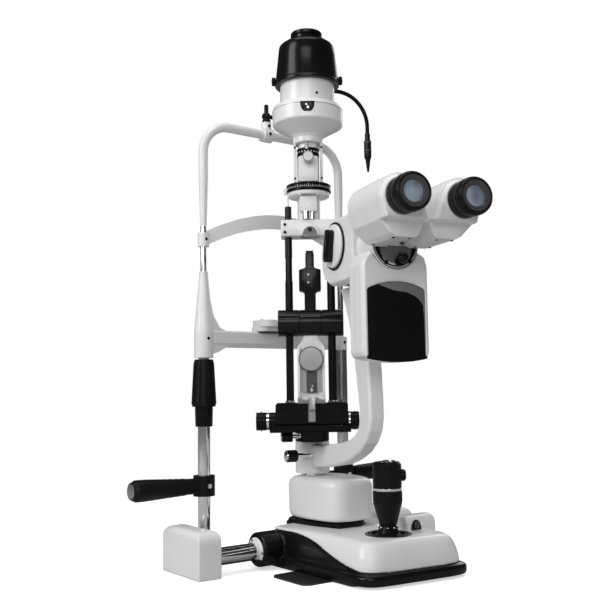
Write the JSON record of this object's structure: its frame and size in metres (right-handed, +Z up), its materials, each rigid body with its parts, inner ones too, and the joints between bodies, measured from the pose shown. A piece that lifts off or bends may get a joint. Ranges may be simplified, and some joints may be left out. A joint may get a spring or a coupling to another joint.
{
  "type": "slit_lamp",
  "caption": "Slit lamp microscope with a tilting slit illuminator, a cross slide base with a joystick and a stand with chin and forehead rests",
  "frame": {"origin": "on the table, on the turning axis of both arms at rest", "axes": "+X to the examiner's right, +Y to the patient, +Z up; the examiner is at -Y"},
  "size_m": [0.438, 0.4446, 0.692],
  "materials": {
    "shell": "satin warm white stove enamel",
    "bright": "polished chrome",
    "plate": "dark satin steel",
    "grip": "fine matte black moulding",
    "rubber": "black rubber and ring",
    "panel": "gloss black, bare",
    "bush": "pale bearing plastic",
    "mirror": "front surface mirror",
    "brass": "brass holder and bulb",
    "cast": "semi gloss black enamel on castings",
    "black": "satin black anodised metal"
  },
  "bodies": {
    "stand": {"track_plate": "plate", "rail_covers": "shell", "rail_bases": "cast", "lower_posts": "bright", "upper_rods": "bright", "head_frame": "shell", "forehead_band": "shell", "fixation_clamp": "shell"},
    "chin_rest": {"chin_bar": "shell", "chin_cup": "shell"},
    "chin_knob": {"height_knob": "grip"},
    "handle_left": {"left_handle": "grip"},
    "handle_right": {"right_handle": "grip"},
    "fixation": {"fixation_arm": "black"},
    "axle": {"cross_axle": "bright"},
    "wheels": {"wheel_set": "plate"},
    "base": {"base_chassis": "cast", "base_cover": "shell", "axle_bushes": "bush", "lift_guide": "black"},
    "base_lock": {"lock_lever": "black"},
    "stick_ring": {"joystick_gimbal": "bright"},
    "stick": {"joystick_stem": "black"},
    "grip": {"joystick_grip": "grip"},
    "grip_trigger": {"trigger": "black"},
    "grip_button": {"top_button": "bright"},
    "lift": {"lift_column": "bright", "column_housing": "shell"},
    "microscope": {"scope_arm": "shell", "scope_body": "shell", "scope_cover": "shell", "front_panel": "panel", "objective": "black"},
    "scope_screw": {"scope_lock": "bright"},
    "drum": {"mag_knobs": "black"},
    "filter_ball": {"filter_lever": "black"},
    "prism_left": {"left_prism_box": "shell"},
    "prism_right": {"right_prism_box": "shell"},
    "ocular_left": {"left_eyepiece": "rubber"},
    "ocular_right": {"right_eyepiece": "rubber"},
    "illuminator": {"illum_arm": "black"},
    "illum_screw": {"illum_lock": "bright"},
    "tower": {"tilt_block": "black", "tower_rods": "black", "tower_tongue": "shell", "mirror_holder": "black", "mirror_glass": "mirror", "lens_plate": "shell", "slit_barrel": "shell", "condenser": "shell", "lamp_head": "shell", "lamp_cap": "black", "lamp_bulb": "brass", "cap_screws": "black"},
    "latch": {"tilt_latch": "bright"},
    "centring": {"centring_knob": "shell"},
    "slit_width": {"slit_knobs": "black"},
    "dial": {"slit_dial": "black"},
    "aperture": {"aperture_ring": "black"},
    "filter_turn": {"filter_knob": "bright"}
  },
  "joints": [
    {"name": "chin_height", "type": "slide", "parent": "stand", "child": "chin_rest", "axis": [0, 0, 1], "range_m": [0, 0.032]},
    {"name": "chin_knob_turn", "type": "hinge", "parent": "stand", "child": "chin_knob", "pos_m": [-0.131, 0.06, 0.23], "axis": [0, 0, 1], "range_deg": [0, 960]},
    {"name": "left_handle_turn", "type": "hinge", "parent": "stand", "child": "handle_left", "pos_m": [-0.131, 0.06, 0.101], "axis": [0, 0, 1], "range_deg": [-35, 35]},
    {"name": "right_handle_turn", "type": "hinge", "parent": "stand", "child": "handle_right", "pos_m": [0.101, 0.06, 0.101], "axis": [0, 0, 1], "range_deg": [-35, 35]},
    {"name": "fixation_swing", "type": "hinge", "parent": "stand", "child": "fixation", "pos_m": [-0.028, 0.06, 0.609], "axis": [0, 0, 1], "range_deg": [-20, 100]},
    {"name": "fore_aft", "type": "slide", "parent": "stand", "child": "axle", "axis": [0, 1, 0], "range_m": [0, 0.03]},
    {"name": "wheel_roll", "type": "hinge", "parent": "axle", "child": "wheels", "pos_m": [-0.015, -0.006, 0.024], "axis": [1, 0, 0], "range_deg": [-122.78, 0]},
    {"name": "side_slide", "type": "slide", "parent": "axle", "child": "base", "axis": [1, 0, 0], "range_m": [-0.055, 0.028]},
    {"name": "base_lock_turn", "type": "hinge", "parent": "base", "child": "base_lock", "pos_m": [0.044, -0.16, 0.0574], "axis": [0, -1, 0], "range_deg": [-60, 60]},
    {"name": "stick_side", "type": "hinge", "parent": "base", "child": "stick_ring", "pos_m": [0.003, -0.144, 0.03], "axis": [0, 1, 0], "range_deg": [-10, 10]},
    {"name": "stick_fore_aft", "type": "hinge", "parent": "stick_ring", "child": "stick", "pos_m": [0.003, -0.144, 0.03], "axis": [1, 0, 0], "range_deg": [-10, 10]},
    {"name": "grip_twist", "type": "hinge", "parent": "stick", "child": "grip", "pos_m": [0.003, -0.144, 0.1], "axis": [0, 0, 1], "range_deg": [0, 900]},
    {"name": "trigger_press", "type": "slide", "parent": "grip", "child": "grip_trigger", "axis": [-0.7986, 0.6018, 0], "range_m": [0, 0.002], "stiffness_N_per_m": 300, "springref_m": -0.002},
    {"name": "button_press", "type": "slide", "parent": "grip", "child": "grip_button", "axis": [0, 0, -1], "range_m": [0, 0.0015], "stiffness_N_per_m": 300, "springref_m": -0.002},
    {"name": "column_lift", "type": "slide", "parent": "base", "child": "lift", "axis": [0, 0, 1], "range_m": [0, 0.03]},
    {"name": "microscope_swing", "type": "hinge", "parent": "lift", "child": "microscope", "pos_m": [0, 0, 0.135], "axis": [0, 0, 1], "range_deg": [-40, 45]},
    {"name": "scope_screw_turn", "type": "hinge", "parent": "microscope", "child": "scope_screw", "pos_m": [-0.02579, -0.01897, 0.1375], "axis": [0.9659, -0.2588, 0], "continuous": true},
    {"name": "magnification_turn", "type": "hinge", "parent": "microscope", "child": "drum", "pos_m": [-0.04245, -0.15841, 0.389], "axis": [0.9659, -0.2588, 0], "continuous": true},
    {"name": "filter_swing", "type": "hinge", "parent": "microscope", "child": "filter_ball", "pos_m": [-0.06336, -0.24805, 0.36], "axis": [-0.2588, -0.9659, 0], "range_deg": [-15, 8]},
    {"name": "pupil_right", "type": "hinge", "parent": "microscope", "child": "prism_right", "pos_m": [-0.05356, -0.2424, 0.389], "axis": [-0.2588, -0.9659, 0], "range_deg": [-4, 12]},
    {"name": "pupil_left", "type": "hinge", "parent": "microscope", "child": "prism_left", "pos_m": [-0.07481, -0.2367, 0.389], "axis": [-0.2588, -0.9659, 0], "range_deg": [-12, 4]},
    {"name": "dioptre_right", "type": "hinge", "parent": "prism_right", "child": "ocular_right", "pos_m": [-0.05548, -0.3423, 0.412], "axis": [-0.2588, -0.9659, 0], "range_deg": [-120, 120]},
    {"name": "dioptre_left", "type": "hinge", "parent": "prism_left", "child": "ocular_left", "pos_m": [-0.1231, -0.32419, 0.412], "axis": [-0.2588, -0.9659, 0], "range_deg": [-120, 120]},
    {"name": "illuminator_swing", "type": "hinge", "parent": "lift", "child": "illuminator", "pos_m": [0, 0, 0.162], "axis": [0, 0, 1], "range_deg": [-30, 90]},
    {"name": "illum_screw_turn", "type": "hinge", "parent": "illuminator", "child": "illum_screw", "pos_m": [-0.03704, -0.01592, 0.163], "axis": [0.7986, -0.6018, 0], "continuous": true},
    {"name": "tower_tilt", "type": "hinge", "parent": "illuminator", "child": "tower", "pos_m": [-0.03611, -0.04792, 0.183], "axis": [0.7986, -0.6018, 0], "range_deg": [0, 10]},
    {"name": "latch_press", "type": "slide", "parent": "tower", "child": "latch", "axis": [0.6018, 0.7986, 0], "range_m": [0, 0.002], "stiffness_N_per_m": 300, "springref_m": -0.002},
    {"name": "centring_turn", "type": "hinge", "parent": "tower", "child": "centring", "pos_m": [-0.04092, -0.05431, 0.261], "axis": [-0.6018, -0.7986, 0], "continuous": true},
    {"name": "slit_width_turn", "type": "hinge", "parent": "tower", "child": "slit_width", "pos_m": [-0.03611, -0.04792, 0.183], "axis": [0.7986, -0.6018, 0], "range_deg": [-150, 150]},
    {"name": "slit_rotation", "type": "hinge", "parent": "tower", "child": "dial", "pos_m": [-0.03611, -0.04792, 0.485], "axis": [0, 0, 1], "range_deg": [-90, 90]},
    {"name": "aperture_turn", "type": "hinge", "parent": "tower", "child": "aperture", "pos_m": [-0.03611, -0.04792, 0.533], "axis": [0, 0, 1], "range_deg": [-50, 50]},
    {"name": "filter_knob_turn", "type": "hinge", "parent": "tower", "child": "filter_turn", "pos_m": [-0.04453, -0.0591, 0.518], "axis": [-0.6018, -0.7986, 0], "continuous": true}
  ],
  "couplings": [
    {"joint": "chin_knob_turn", "follows": "chin_height", "rad_per_m": 523.6},
    {"joint": "wheel_roll", "follows": "fore_aft", "rad_per_m": -71.429},
    {"joint": "grip_twist", "follows": "column_lift", "rad_per_m": 523.6},
    {"joint": "pupil_left", "follows": "pupil_right", "ratio": -1}
  ]
}
